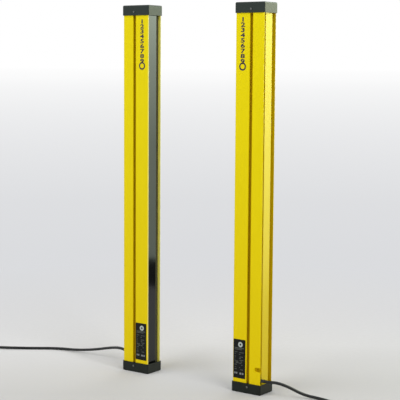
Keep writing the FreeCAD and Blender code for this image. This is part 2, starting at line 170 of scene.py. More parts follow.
class Socket:
    """A node's output; Python's operators on it add Math nodes."""

    def __init__(self, sheet, output):
        self.sheet = sheet
        self.output = output

    def __add__(self, other):
        return self.sheet.maths("ADD", self, other)

    def __radd__(self, other):
        return self.sheet.maths("ADD", other, self)

    def __sub__(self, other):
        return self.sheet.maths("SUBTRACT", self, other)

    def __rsub__(self, other):
        return self.sheet.maths("SUBTRACT", other, self)

    def __mul__(self, other):
        return self.sheet.maths("MULTIPLY", self, other)

    def __rmul__(self, other):
        return self.sheet.maths("MULTIPLY", other, self)

    def __truediv__(self, other):
        return self.sheet.maths("DIVIDE", self, other)

    def __rtruediv__(self, other):
        return self.sheet.maths("DIVIDE", other, self)

    def __mod__(self, other):
        return self.sheet.maths("FLOORED_MODULO", self, other)

    def __gt__(self, other):
        return self.sheet.maths("GREATER_THAN", self, other)

    def __lt__(self, other):
        return self.sheet.maths("LESS_THAN", self, other)


class Sheet:
    """A node tree that is built up in Python."""

    def __init__(self, tree):
        self.tree = tree
        tree.nodes.clear()

    def node(self, kind, settings=None, sockets=None):
        """Adds a node of that type: its settings first, then the values or links of its sockets."""
        made = self.tree.nodes.new(kind)
        for name, value in (settings or {}).items():
            if name == "stops":
                ramp = made.color_ramp
                while len(ramp.elements) < len(value):
                    ramp.elements.new(1.0)
                for element, (place, shade) in zip(ramp.elements, value):
                    element.position = place
                    element.color = (*shade, 1.0)
            else:
                setattr(made, name, value)
        for key, value in (sockets or {}).items():
            self.put(self.find(made.inputs, key), value)
        return made

    def find(self, row, key):
        """A node's socket by its place, its identifier or its name."""
        if isinstance(key, int):
            return row[key]
        for socket in row:
            if key in (socket.identifier, socket.name):
                return socket
        raise KeyError(key)

    def put(self, socket, value):
        """Sets a socket's value, or links it."""
        if isinstance(value, Socket):
            self.tree.links.new(value.output, socket)
        elif socket.type == "RGBA":
            socket.default_value = (*value, 1.0)
        else:
            socket.default_value = value

    def get(self, kind, settings=None, sockets=None, output=0):
        """Adds a node and gives one of its outputs."""
        made = self.node(kind, settings, sockets)
        return Socket(self, self.find(made.outputs, output))

    def maths(self, operation, *values):
        """A Math node on values or sockets."""
        return self.get("ShaderNodeMath", {"operation": operation}, dict(enumerate(values)))

    def clamped(self, value, low, high):
        """How far the value is from low to high, held between 0 and 1."""
        sockets = {"Value": value, "From Min": low, "From Max": high}
        return self.get("ShaderNodeMapRange", {"clamp": True}, sockets)

    def mix(self, first, second, factor):
        """A colour between two others."""
        return self.get(
            "ShaderNodeMix", {"data_type": "RGBA"},
            {"Factor_Float": factor, "A_Color": first, "B_Color": second}, "Result_Color",
        )

    def place(self):
        """Object coordinates."""
        return self.get("ShaderNodeTexCoord", output="Object")

    def axes(self):
        """Object coordinates as three numbers."""
        split = self.node("ShaderNodeSeparateXYZ", sockets={"Vector": self.place()})
        return [Socket(self, split.outputs[i]) for i in range(3)]

    def noise(self, scale, detail=2.0, vector=None):
        """Noise of that many features to a metre, on Object coordinates unless told otherwise."""
        return self.get(
            "ShaderNodeTexNoise", None,
            {"Vector": vector or self.place(), "Scale": scale, "Detail": detail}, "Fac",
        )

    def stretched(self, scale):
        """Object coordinates, scaled by a different number along each axis."""
        return self.get("ShaderNodeMapping", None, {"Vector": self.place(), "Scale": scale})

    def ramp(self, value, stops):
        """A colour that runs through the stops, which are pairs of a place and a colour."""
        return self.get("ShaderNodeValToRGB", {"stops": stops}, {"Fac": value})

    def shown(self):
        """1 where it is seen directly, mirrored or through something clear, and 0 elsewhere."""
        path = self.node("ShaderNodeLightPath")
        direct, mirrored, through = (
            Socket(self, path.outputs[name])
            for name in ("Is Camera Ray", "Is Glossy Ray", "Is Transmission Ray")
        )
        return self.maths("MAXIMUM", direct, self.maths("MAXIMUM", mirrored, through))


class Finish(Sheet):
    """A procedural material: one Principled shader and the nodes that feed it."""

    def __init__(self, name, **constants):
        self.material = bpy.data.materials.new(name)
        self.material.use_nodes = True
        super().__init__(self.material.node_tree)
        self.shader = self.node("ShaderNodeBsdfPrincipled")
        self.surface = Socket(self, self.shader.outputs[0])
        self.output = self.node("ShaderNodeOutputMaterial", None, {"Surface": self.surface})
        self.feed({key.replace("_", " "): value for key, value in constants.items()})

    def show(self, surface):
        """Puts another surface on the output, in the place of the shader's own."""
        self.put(self.output.inputs["Surface"], surface)

    def feed(self, sockets):
        """Sets or links the shader's sockets by name."""
        for key, value in sockets.items():
            self.put(self.find(self.shader.inputs, key), value)
        return self

    def bump(self, height, depth):
        """Raises the surface by a height from 0 to 1 times the depth in metres."""
        sockets = {"Height": height, "Distance": depth, "Strength": 1.0}
        return self.feed({"Normal": self.get("ShaderNodeBump", None, sockets)})


# Finishes


def enamel():
    """Powder coat: fine orange peel, darker towards the foot as painted shade.

    A place is told by how far it lies forward of its unit's middle, towards the window, and how
    far aside of the unit's middle plane. Both are the same for the two units, which face each
    other. Down in the slots and grooves the coat is darker, painted shade; beside the window the
    lips' walls are paler, painted light; along the front edges a pale band is a painted highlight.
    """
    look = finishes()
    finish = Finish("yellow_enamel", Specular_IOR_Level=0.42, Specular_Tint=(1.0, 0.92, 0.15))
    x, y, z = finish.axes()
    unit_place = 0.150
    forward = unit_place - finish.maths("ABSOLUTE", x)
    aside = finish.maths("ABSOLUTE", y)
    slot_rear, slot_front, slot_mouth, slot_edge = -0.0100, 0.0024, 0.0218, 0.001
    groove_mouth, groove_floor, groove_inner, groove_outer = -0.0343, -0.0195, 0.01225, 0.02105
    channel_floor, channel_side = 0.0286, 0.0209
    edge_highlight_start, front_edge, edge_highlight_wander = 0.0335, 0.0345, 0.0012

    cloud = finish.noise(14.0, 3.0)
    peel = finish.noise(620.0, 2.0)
    pit = finish.noise(2400.0, 1.0)
    # painted shade: the coat darkens towards the foot
    body = finish.mix(look.enamel_low, look.enamel, finish.clamped(z, 0.02, 0.60))
    deeper = finish.mix(body, (0.70, 0.55, 0.001), 0.30 * finish.clamped(cloud, 0.35, 0.75))
    # painted shade: darker coat in the slots, and somewhat less dark in the rear grooves
    sunk = finish.clamped(slot_mouth - aside, 0.0, slot_edge)
    in_slot = sunk * (forward > slot_rear) * (forward < slot_front)
    across_groove = (aside > groove_inner) * (aside < groove_outer)
    in_groove = across_groove * (forward > groove_mouth) * (forward < groove_floor)
    shaded = finish.mix(deeper, look.recess, finish.maths("MAXIMUM", in_slot, 0.65 * in_groove))
    # painted light: the lip walls beside the window are paler, standing for light they catch and
    # reflect
    by_window = (aside < channel_side) * (forward > channel_floor)
    lip_painted_light = finish.mix(shaded, (0.97, 0.88, 0.14), by_window)
    # painted highlight: a pale band along the front edges
    edge_highlight = finish.clamped(forward + edge_highlight_wander * (cloud - 0.5), edge_highlight_start, front_edge)
    shade = finish.mix(lip_painted_light, (0.92, 0.86, 0.38), 0.6 * edge_highlight)
    finish.feed({"Base Color": shade, "Roughness": look.enamel_roughness + 0.07 * (pit - 0.5)})
    return finish.bump(0.8 * peel + 0.2 * pit, 0.00002).material


def cap_plastic():
    """Moulded plastic with a fine spark-eroded grain; the top caps are paler, painted light for the
    brighter reflection they catch.
    """
    look = finishes()
    finish = Finish("cap_plastic", Specular_IOR_Level=0.25, Specular_Tint=(1.0, 0.99, 0.89))
    grain = finish.noise(2600.0, 3.0)
    cloud = finish.noise(40.0, 3.0)
    # painted light: the top caps are paler than the bottom caps
    upper = finish.clamped(finish.axes()[2], 0.3, 0.6)
    plastic = finish.mix(look.cap_plastic, look.cap_top, upper)
    finish.feed(
        {
            "Base Color": finish.mix(plastic, look.cap_top, 0.3 * finish.clamped(cloud, 0.3, 0.7)),
            "Roughness": look.cap_roughness + 0.12 * (grain - 0.5),
        }
    )
    return finish.bump(grain, 0.00004).material


def window_sheet():
    """Extruded dark sheet, polished, with slow waves and a trace of dust; its margins are paler, a
    painted reflection.
    """
    look = finishes()
    finish = Finish("window_sheet", IOR=1.41)
    waves = finish.noise(1.0, 1.0, finish.stretched((55.0, 55.0, 5.0)))
    dust = finish.noise(900.0, 4.0)
    margin_start, margin_end = 0.0115, 0.0135
    aside = finish.maths("ABSOLUTE", finish.axes()[1])
    # painted reflection: the margins beside the lips are paler
    margin_painted_light = finish.clamped(aside, margin_start, margin_end)
    dusty = finish.mix(look.window, (0.011, 0.012, 0.012), finish.clamped(dust, 0.55, 0.8))
    finish.feed(
        {
            "Base Color": finish.mix(dusty, (0.055, 0.055, 0.036), margin_painted_light),
            "Roughness": look.window_roughness + 0.03 * dust,
        }
    )
    return finish.bump(waves, 0.00008).material


def moulded(name, shade, second, roughness, scale=1800.0, depth=0.00003, **constants):
    """A moulded or rolled finish: two close shades in fine grain."""
    finish = Finish(name, **constants)
    grain = finish.noise(scale, 3.0)
    finish.feed(
        {
            "Base Color": finish.mix(shade, second, finish.clamped(grain, 0.35, 0.65)),
            "Roughness": roughness + 0.1 * (grain - 0.5),
        }
    )
    return finish.bump(grain, depth).material


def plated_steel():
    """Zinc plate with fine turning marks."""
    finish = Finish("plated_steel", Metallic=1.0)
    marks = finish.noise(1.0, 4.0, finish.stretched((2500.0, 300.0, 2500.0)))
    finish.feed(
        {
            "Base Color": finish.mix((0.13, 0.135, 0.13), (0.22, 0.225, 0.22), marks),
            "Roughness": 0.30 + 0.2 * marks,
        }
    )
    return finish.bump(marks, 0.00002).material


def circuit_board():
    """Green solder mask with copper tracks under it and bare pads in a row pattern."""
    finish = Finish("circuit_board", Coat_Roughness=0.2)
    track_pitch, pad_pitch = 0.0022, 0.0050
    _, y, z = finish.axes()
    across = (y / track_pitch) % 1.0
    along = (z / pad_pitch) % 1.0
    wander = finish.noise(1.0, 1.0, finish.stretched((60.0, 60.0, 18.0)))
    track = (across > 0.62) * (wander > 0.5)
    pad = (across > 0.28) * (across < 0.56) * (along > 0.42) * (along < 0.62)
    mask = finish.mix(finishes().solder_mask, (0.02, 0.16, 0.06), track)
    finish.feed(
        {
            "Base Color": finish.mix(mask, (0.80, 0.62, 0.30), pad),
            "Metallic": pad,
            "Roughness": 0.35 - 0.1 * pad,
        }
    )
    return finish.bump(0.5 * track + 0.5 * pad, 0.00005).material


def woven_strap():
    """Hook-and-loop strap: two sets of threads that pass over and under each other."""
    finish = Finish("woven_strap", Sheen_Weight=0.4)
    x, y, z = finish.axes()
    radians_per_metre = 5200.0
    warp = finish.maths("SINE", (x + y) * radians_per_metre)
    weft = finish.maths("SINE", (z - 0.6 * x + 0.6 * y) * radians_per_metre)
    thread = finish.clamped(warp * weft, -1.0, 1.0)
    fuzz = finish.noise(3500.0, 3.0)
    finish.feed(
        {
            "Base Color": finish.mix((0.010, 0.010, 0.011), (0.035, 0.035, 0.037), thread),
            "Roughness": 0.8 + 0.1 * fuzz,
        }
    )
    return finish.bump(0.7 * thread + 0.3 * fuzz, 0.00012).material


# Meshes


def grid_faces(rows, columns, closed_rows=False, closed_columns=False):
    """Quads between neighbours in a grid; a closed direction joins its last points to its first."""
    index = np.arange(rows * columns).reshape(rows, columns)
    if closed_rows:
        index = np.concatenate([index, index[:1]])
    if closed_columns:
        index = np.concatenate([index, index[:, :1]], axis=1)
    corners = [index[:-1, :-1], index[1:, :-1], index[1:, 1:], index[:-1, 1:]]
    return np.stack(corners, axis=-1).reshape(-1, 4)


def turned(profile, middle, side, up, count, closed):
    """A profile turned round an axis.

    Each profile point is a pair: r from the axis and h along it. With a as the turn,
    the surface is middle + (side cos a + up sin a) r + (side x up) h.
    """
    profile = np.asarray(profile, float)
    side, up = np.asarray(side, float), np.asarray(up, float)
    turn = np.linspace(0.0, 2 * math.pi, count, endpoint=False)
    spoke = np.outer(np.cos(turn), side) + np.outer(np.sin(turn), up)
    points = profile[:, None, :1] * spoke[None] + profile[:, None, 1:] * np.cross(side, up)
    points = points + np.asarray(middle, float)
    return points.reshape(-1, 3), grid_faces(len(profile), count, closed, True)


def flat_ring(middle, inner, outer, proud, count):
    """A printed ring on a face that looks along -Y.

    Its profile is a rectangle from inner to outer and from -proud to proud, turned round the
    face's normal.
    """
    profile = [(inner, -proud), (outer, -proud), (outer, proud), (inner, proud)]
    return turned(profile, middle, (1, 0, 0), (0, 0, 1), count, True)


def bars(rectangles, face_y, proud):
    """Thin upright plates on a face that looks along -Y.

    Each rectangle is x0, x1, z0, z1. A plate's corners are the products of its two x, the two
    depths face_y + proud / 4 and face_y - proud, and its two z.
    """
    r = np.asarray(rectangles, float)
    x, z = r[:, [0, 1, 1, 0, 0, 1, 1, 0]], r[:, [2, 2, 3, 3, 2, 2, 3, 3]]
    y = np.broadcast_to([face_y - proud] * 4 + [face_y + proud / 4] * 4, x.shape)
    points = np.stack([x, y, z], axis=-1).reshape(-1, 3)
    box = np.array(
        [[0, 1, 2, 3], [5, 4, 7, 6], [1, 5, 6, 2], [4, 0, 3, 7], [3, 2, 6, 7], [4, 5, 1, 0]]
    )
    faces = (box[None] + 8 * np.arange(len(r))[:, None, None]).reshape(-1, 4)
    return points, faces


def piece(name, shapes, materials, slot=None):
    """A flat-shaded mesh object from shapes: each its points, its faces and its finish's number."""
    points, faces, chosen, start = [], [], [], 0
    for shape_points, shape_faces, which in shapes:
        points.append(shape_points)
        faces.append(np.asarray(shape_faces) + start)
        chosen.append(np.full(len(shape_faces), which))
        start += len(shape_points)
    mesh = bpy.data.meshes.new(name)
    mesh.from_pydata(np.concatenate(points).tolist(), [], np.concatenate(faces).tolist())
    for material in materials:
        mesh.materials.append(material)
    mesh.polygons.foreach_set("material_index", np.concatenate(chosen))
    tidy(mesh)
    mesh.polygons.foreach_set("use_smooth", np.zeros(len(mesh.polygons), bool))
    made = bpy.data.objects.new(name, mesh)
    bpy.context.scene.collection.objects.link(made)
    if slot:
        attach(made, "root")
    return made


def tidy(mesh):
    """Merges doubles and turns every face outwards."""
    same_place = 1e-7
    work = bmesh.new()
    work.from_mesh(mesh)
    bmesh.ops.remove_doubles(work, verts=work.verts, dist=same_place)
    bmesh.ops.dissolve_degenerate(work, edges=work.edges, dist=same_place)
    bmesh.ops.recalc_face_normals(work, faces=work.faces)
    work.to_mesh(mesh)
    work.free()


def dress(kind, material):
    """Gives both units' nodes of one kind a finish."""
    for unit in UNITS:
        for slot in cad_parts[f"{unit}_{kind}"].material_slots:
            slot.material = material


# Operators


class LIGHT_CURTAIN_OT_bodies(bpy.types.Operator):
    """Powder-coats the extruded bodies"""

    bl_idname = "light_curtain.bodies"
    bl_label = "Bodies"

    def execute(self, context):
        dress("housing", enamel())
        return {"FINISHED"}


class LIGHT_CURTAIN_OT_windows(bpy.types.Operator):
    """Finishes the front windows and their seals"""

    bl_idname = "light_curtain.windows"
    bl_label = "Windows"

    def execute(self, context):
        dress("front_window", window_sheet())
        # painted light: the seals are a lighter olive grey than dark rubber, for light they catch
        # in their shaded corner
        seal_painted_light = moulded("seal_rubber", (0.055, 0.054, 0.036), (0.075, 0.074, 0.050), 0.3, 1500.0)
        for kind in ("window_seal_left", "window_seal_right", "top_gasket", "bottom_gasket"):
            dress(kind, seal_painted_light)
        return {"FINISHED"}


class LIGHT_CURTAIN_OT_caps(bpy.types.Operator):
    """Finishes the end caps, their screws and the slot nuts"""

    bl_idname = "light_curtain.caps"
    bl_label = "End caps"

    def execute(self, context):
        plastic = cap_plastic()
        dress("top_cap", plastic)
        dress("bottom_cap", plastic)
        steel = plated_steel()
        dress("cap_screws", steel)
        dress("slot_nuts", steel)
        return {"FINISHED"}


class LIGHT_CURTAIN_OT_inside(bpy.types.Operator):
    """Finishes the lenses, boards and leads inside the units"""

    bl_idname = "light_curtain.inside"
    bl_label = "Inside"

    def execute(self, context):
        board = circuit_board()
        dress("circuit_board", board)
        dress("control_board", board)
        clear = moulded(
            "clear_lens", (0.72, 0.76, 0.80), (0.80, 0.84, 0.88), 0.08, 300.0, 0.00001, IOR=1.49
        )
        dress("lens_strip", clear)
        for kind, name, shade, second, roughness in (
            ("optics_carrier", "carrier_plastic", (0.012, 0.012, 0.013), (0.02, 0.02, 0.022), 0.55),
            ("beam_diodes", "diode_resin", (0.06, 0.055, 0.09), (0.09, 0.08, 0.13), 0.15),
            ("board_link", "header_plastic", (0.015, 0.015, 0.016), (0.03, 0.03, 0.03), 0.5),
            (
                "control_components", "component_resin",
                (0.02, 0.02, 0.022), (0.045, 0.045, 0.05), 0.4,
            ),
            ("lead_terminal", "terminal_plastic", (0.55, 0.55, 0.50), (0.66, 0.66, 0.60), 0.45),
            ("inner_leads", "lead_insulation", (0.32, 0.12, 0.03), (0.40, 0.16, 0.05), 0.35),
        ):
            dress(kind, moulded(name, shade, second, roughness))
        return {"FINISHED"}


class LIGHT_CURTAIN_OT_labels(bpy.types.Operator):
    """Finishes the label plates and sets plain marks on them"""

    bl_idname = "light_curtain.labels"
    bl_label = "Labels"

    # In millimetres, to the right of the label's upper left corner and down from it
    ring_middle = (17.5, 11.0)
    ring_inner, ring_outer = 2.2, 5.7
    # Left, right, top and bottom of a bar
    fields = [
        (3, 27, 18.0, 19.6), (3, 22, 21.0, 22.4), (3, 10, 27.0, 28.2), (15, 26, 27.6, 28.8),
    ]
    marks = [
        (3.2, 5.8, 71.0, 75.0), (7.6, 10.2, 71.0, 75.0),
        (16.0, 20.6, 71.6, 75.4), (22.2, 26.0, 71.6, 75.4),
    ]
    # A row's place, and then the two ends of its left bar and of its right bar
    rows = [
        (31.0, 3.0, 5.5, 14.0, 17.5), (36.5, 3.0, 6.0, 15.5, 24.0), (39.5, 4.0, 5.2, 14.5, 19.0),
        (43.5, 3.0, 5.0, 16.0, 25.5), (47.0, 3.5, 12.5, 18.5, 22.0), (50.0, 6.0, 13.5, 14.5, 20.5),
        (54.0, 3.0, 9.0, 20.0, 23.5), (59.5, 4.5, 7.0, 15.0, 17.0), (64.0, 3.0, 8.5, 17.5, 24.5),
    ]
    left_bottom = 1.5
    right_top, right_bottom = 0.5, 1.9

    def execute(self, context):
        look = finishes()
        film = moulded(
            "label_film", look.label, (0.004, 0.005, 0.005), 0.32, 2200.0, 0.00001,
            Specular_IOR_Level=0.2,
        )
        dress("label_plate", film)
        pale = moulded("label_pale_print", look.label_print, (0.44, 0.48, 0.46), 0.45)
        grey = moulded("label_grey_print", (0.17, 0.18, 0.18), (0.24, 0.25, 0.25), 0.45)
        dim = moulded("label_dim_print", (0.055, 0.062, 0.055), (0.08, 0.09, 0.08), 0.45)
        for unit in UNITS:
            self.mark(unit, [pale, grey, dim])
        return {"FINISHED"}

    def mark(self, unit, inks):
        """A ring, ruled fields, rows of short bars and four marks, placed from the plate's box."""
        low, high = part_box(unit + "_label_plate")
        left, top, face, proud = low[0], high[2], low[1], sizes().print_thickness
        across, down = self.ring_middle
        middle = (left + across * MM, face, top - down * MM)
        ring = flat_ring(middle, self.ring_inner * MM, self.ring_outer * MM, proud, 40)
        dim = list(self.fields)
        for place, left_start, left_end, right_start, right_end in self.rows:
            dim.append((left_start, left_end, place, place + self.left_bottom))
            dim.append((right_start, right_end, place + self.right_top, place + self.right_bottom))

        def placed(rectangles):
            return [
                (left + x0 * MM, left + x1 * MM, top - z1 * MM, top - z0 * MM)
                for x0, x1, z0, z1 in rectangles
            ]

        grey_bars = bars(placed(self.marks), face, proud)
        dim_bars = bars(placed(dim), face, proud)
        shapes = [(*ring, 0), (*grey_bars, 1), (*dim_bars, 2)]
        piece(unit + "_label_marks", shapes, inks, "label")


class LIGHT_CURTAIN_OT_numerals(bpy.types.Operator):
    """Prints plain numerals and a ring on the front strip of each body"""

    bl_idname = "light_curtain.numerals"
    bl_label = "Numerals"

    front_strip = 0.0343  # width of the side face between its slot and its front edge
    numeral_share = 0.70  # height of a numeral in a letter of size 1
    stroke_growth = 0.00042
    widening = 1.75
    first_below_cap = 0.009
    ring_below_cap = 0.110
    ring_inner, ring_outer = 0.0052, 0.0086

    def execute(self, context):
        ink = moulded("body_print", finishes().ink, (0.040, 0.026, 0.030), 0.35)
        for unit in UNITS:
            low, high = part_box(unit + "_housing")
            half_strip = self.front_strip / 2
            middle = high[0] - half_strip if unit == "emitter" else low[0] + half_strip
            face = low[1]
            cap_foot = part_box(unit + "_top_cap")[0][2]
            self.numerals(context, unit, ink, (middle, face, cap_foot - self.first_below_cap))
            ring_middle = (middle, face, cap_foot - self.ring_below_cap)
            proud = sizes().print_thickness
            ring = flat_ring(ring_middle, self.ring_inner, self.ring_outer, proud, 48)
            piece(unit + "_ring", [(*ring, 0)], [ink], "label")
        return {"FINISHED"}

    def numerals(self, context, unit, ink, place):
        """A column of 1 to 9 as a mesh, with the middle of its top at that place."""
        size = sizes()
        text = bpy.data.curves.new(unit + "_numerals", "FONT")
        text.body = "\n".join(str(i) for i in range(1, 10))
        text.align_x = "CENTER"
        text.size = size.numeral_height / self.numeral_share
        text.space_line = size.numeral_pitch / text.size
        text.extrude = size.print_thickness
        text.offset = self.stroke_growth
        text.resolution_u = 4
        draft = bpy.data.objects.new(unit + "_numerals_draft", text)
        context.scene.collection.objects.link(draft)
        context.view_layer.update()
        evaluated = draft.evaluated_get(context.evaluated_depsgraph_get())
        mesh = bpy.data.meshes.new_from_object(evaluated)
        bpy.data.objects.remove(draft)
        corners = np.empty(3 * len(mesh.vertices))
        mesh.vertices.foreach_get("co", corners)
        top = corners[1::3].max()
        widened = Matrix.Diagonal((self.widening, 1.0, 1.0, 1.0))
        upright = Matrix.Rotation(math.pi / 2, 4, "X")
        mesh.transform(Matrix.Translation((place[0], place[1], place[2] - top)) @ upright @ widened)
        tidy(mesh)
        mesh.materials.clear()
        mesh.materials.append(ink)
        made = bpy.data.objects.new(unit + "_numerals", mesh)
        context.scene.collection.objects.link(made)
        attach(made, "root")


class LIGHT_CURTAIN_OT_cables(bpy.types.Operator):
    """Lays the two cables and finishes what goes with them"""

    bl_idname = "light_curtain.cables"
    bl_label = "Cables"

    # Each route starts at the tip of the strain relief, and its last run leads into the coil
    routes = {
        "emitter": [
            (-0.1925, 0.01665, 0.031), (-0.205, 0.01665, 0.031), (-0.227, 0.021, 0.0362),
            (-0.265, 0.032, 0.0300), (-0.322, 0.0365, 0.0158), (-0.384, 0.041, 0.005),
            (-0.440, 0.033, 0.0032), (-0.492, -0.007, 0.0032), (-0.550, -0.047, 0.004),
            (-0.618, -0.075, 0.004),
        ],
        "receiver": [
            (0.1925, -0.01665, 0.031), (0.205, -0.01665, 0.031), (0.222, -0.0136, 0.032),
            (0.243, -0.004, 0.025), (0.270, 0.014, 0.008), (0.303, 0.026, 0.0032),
            (0.341, 0.016, 0.0032), (0.392, 0.016, 0.004), (0.440, 0.012, 0.004),
        ],
    }

    # The coils: mean radius, and each turn's column, counted outwards, and layer
    coil_mean = {"emitter": 0.0330, "receiver": 0.0356}
    columns = [3, 2, 1, 0, 0, 1, 2, 3, 3, 2, 1, 0]
    layers = [0, 0, 0, 0, 1, 1, 1, 1, 2, 2, 2, 2]
    middle_column = 1.5
    last_column, last_layer = 1.6, 2.92  # where the cable has come to after its last turn
    lead_in = 0.030  # straight stretch in which the cable joins the coil
    first_height = 0.004
    shift = 0.25  # the last part of a turn, in which the cable moves over
    last_climb_start, last_climb = 0.40, 0.30

    # The end on top of the coil: out from the middle, back along the joint, and up
    end_out, end_back, end_height = 0.031, 0.014, 0.0227
    end_step = 0.011

    # The cores: insulation and ferrule as profiles of radius and length in millimetres
    sleeve = [(0, 0), (0.65, 0), (0.65, 34), (0, 34)]
    ferrule = [(0, 34), (0.62, 34), (0.62, 34.9), (0.5, 35.1), (0.5, 41.6), (0.4, 42), (0, 42)]
    core_gap = 0.0001
    core_spacing, core_row_step = 1.4, 1.7
    core_fan_degrees = 2.5
    core_sides = 14
    core_shades = {
        "emitter": ("brown", "white", "blue", "black", "grey"),
        "receiver": ("white", "brown", "green", "yellow", "grey", "pink", "blue", "red"),
    }
    shades = {
        "brown": (0.13, 0.05, 0.02), "white": (0.72, 0.72, 0.70), "blue": (0.02, 0.09, 0.38),
        "black": (0.012, 0.012, 0.012), "grey": (0.22, 0.22, 0.22), "green": (0.02, 0.24, 0.06),
        "yellow": (0.70, 0.56, 0.02), "pink": (0.68, 0.26, 0.32), "red": (0.48, 0.02, 0.02),
    }

    def execute(self, context):
        jacket = moulded(
            "cable_jacket", finishes().jacket, (0.012, 0.013, 0.013), 0.40, 1100.0, 0.00003,
            Specular_IOR_Level=0.3,
        )
        rubber = moulded("relief_rubber", (0.010, 0.011, 0.011), (0.017, 0.018, 0.018), 0.48)
        dress("strain_relief", rubber)
        dress("coil_ties", woven_strap())
        for unit in UNITS:
            cores = self.cores(unit)
            self.lay(context, unit, jacket, cores)
        return {"FINISHED"}

    def coil_frame(self, unit):
        """The coil's middle on the floor, and two level directions.

        The first leads from the middle out to where the cable joins, and the second along the
        cable there.
        """
        joint = np.array(self.routes[unit][-1])
        along = joint - np.array(self.routes[unit][-2])
        along /= np.linalg.norm(along)
        across = np.array([along[1], -along[0], 0.0])
        reach = self.coil_mean[unit] + self.middle_column * sizes().cable_diameter
        middle = joint + along * self.lead_in + across * reach
        middle[2] = 0.0
        return middle, -across, along

    def coil_points(self, unit):
        """Control points of the turns, wound in and out in three layers of four, and of the end.

        A turn's radius is its column's, and in the turn's last quarter it moves to the next
        column's; where a layer ends, the height moves to the next layer's instead. At turn a the
        point is middle + (out cos a + along sin a) radius, at that height. The last turn stops a
        twelfth short, and climbs earlier. The end is three points in line on top of the coil.
        """
        middle, out, along = self.coil_frame(unit)
        pitch, count, turns = sizes().cable_diameter, sizes().turn_points, len(self.columns)
        columns = np.array(self.columns + [self.last_column])
        radii = self.coil_mean[unit] + (columns - self.middle_column) * pitch
        heights = self.first_height + pitch * np.array(self.layers + [self.last_layer])
        step = np.arange(turns * count - count // 12)
        turn, part = step // count, (step % count) / count
        move = np.clip((part - (1.0 - self.shift)) / self.shift, 0.0, 1.0)
        last_move = np.clip((part - self.last_climb_start) / self.last_climb, 0.0, 1.0)
        climb = np.where(turn == turns - 1, last_move, move)
        radius = radii[turn] + (radii[turn + 1] - radii[turn]) * move
        radius /= math.cos(math.pi / count)
        angle = 2 * math.pi * part
        points = middle + np.outer(radius * np.cos(angle), out)
        points = points + np.outer(radius * np.sin(angle), along)
        points[:, 2] = heights[turn] + (heights[turn + 1] - heights[turn]) * climb
        up = np.array([0.0, 0.0, self.end_height])
        end = middle + out * self.end_out - along * self.end_back + up
        return points, np.array([end, end + along * self.end_step, end + along * 2 * self.end_step])

    def lay(self, context, unit, jacket, cores):
        """One spline: the route, the coil's turns and the end on top of them."""
        size = sizes()
        turns, end = self.coil_points(unit)
        points = np.concatenate([np.array(self.routes[unit]), turns, end])
        curve = bpy.data.curves.new(unit + "_cord", "CURVE")
        curve.dimensions = "3D"
        spline = curve.splines.new("NURBS")
        spline.points.add(len(points) - 1)
        spline.points.foreach_set("co", np.column_stack([points, np.ones(len(points))]).ravel())
        spline.order_u = 3
        spline.use_endpoint_u = True
        spline.resolution_u = 8
        curve.resolution_u = 8
        curve.bevel_depth = size.cable_diameter / 2
        curve.bevel_resolution = 3
        curve.use_fill_caps = True
        curve.materials.append(jacket)
        cord = bpy.data.objects.new(unit + "_cord", curve)
        context.scene.collection.objects.link(cord)
        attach(cord, "root")
        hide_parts(unit + "_cable", unit + "_cable_coil")

    def cores(self, unit):
        """Insulated cores with crimped ferrules, in two rows that fan a little."""
        _, end = self.coil_points(unit)
        _, _, along = self.coil_frame(unit)
        start = end[-1] + along * self.core_gap
        across = np.array([-along[1], along[0], 0.0])
        names = self.core_shades[unit]
        upper = (len(names) + 1) // 2
        materials = []
        for name in names:
            shade = self.shades[name]
            darker = tuple(0.85 * part for part in shade)
            materials.append(moulded("core_" + name, shade, darker, 0.38))
        tin = moulded("ferrule_tin", (0.62, 0.62, 0.61), (0.72, 0.72, 0.71), 0.3, Metallic=1.0)
        materials.append(tin)
        shapes = []
        for i in range(len(names)):
            row, place, in_row = (0, i, upper) if i < upper else (1, i - upper, len(names) - upper)
            from_middle = place - (in_row - 1) / 2
            turn = math.radians(self.core_fan_degrees * from_middle)
            aim = along * math.cos(turn) + across * math.sin(turn)
            side = np.array([-aim[1], aim[0], 0.0])
            up = np.array([0, 0, (0.5 - row) * self.core_row_step * MM])
            origin = start + across * (self.core_spacing * MM * from_middle) + up
            for profile, which in ((self.sleeve, i), (self.ferrule, len(names))):
                scaled = np.array(profile, float) * MM
                points, faces = turned(scaled, origin, side, (0, 0, 1), self.core_sides, False)
                shapes.append((points, faces, which))
        made = piece(unit + "_cores", shapes, materials, "lead")
        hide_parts(unit + "_cable_cores")
        return made


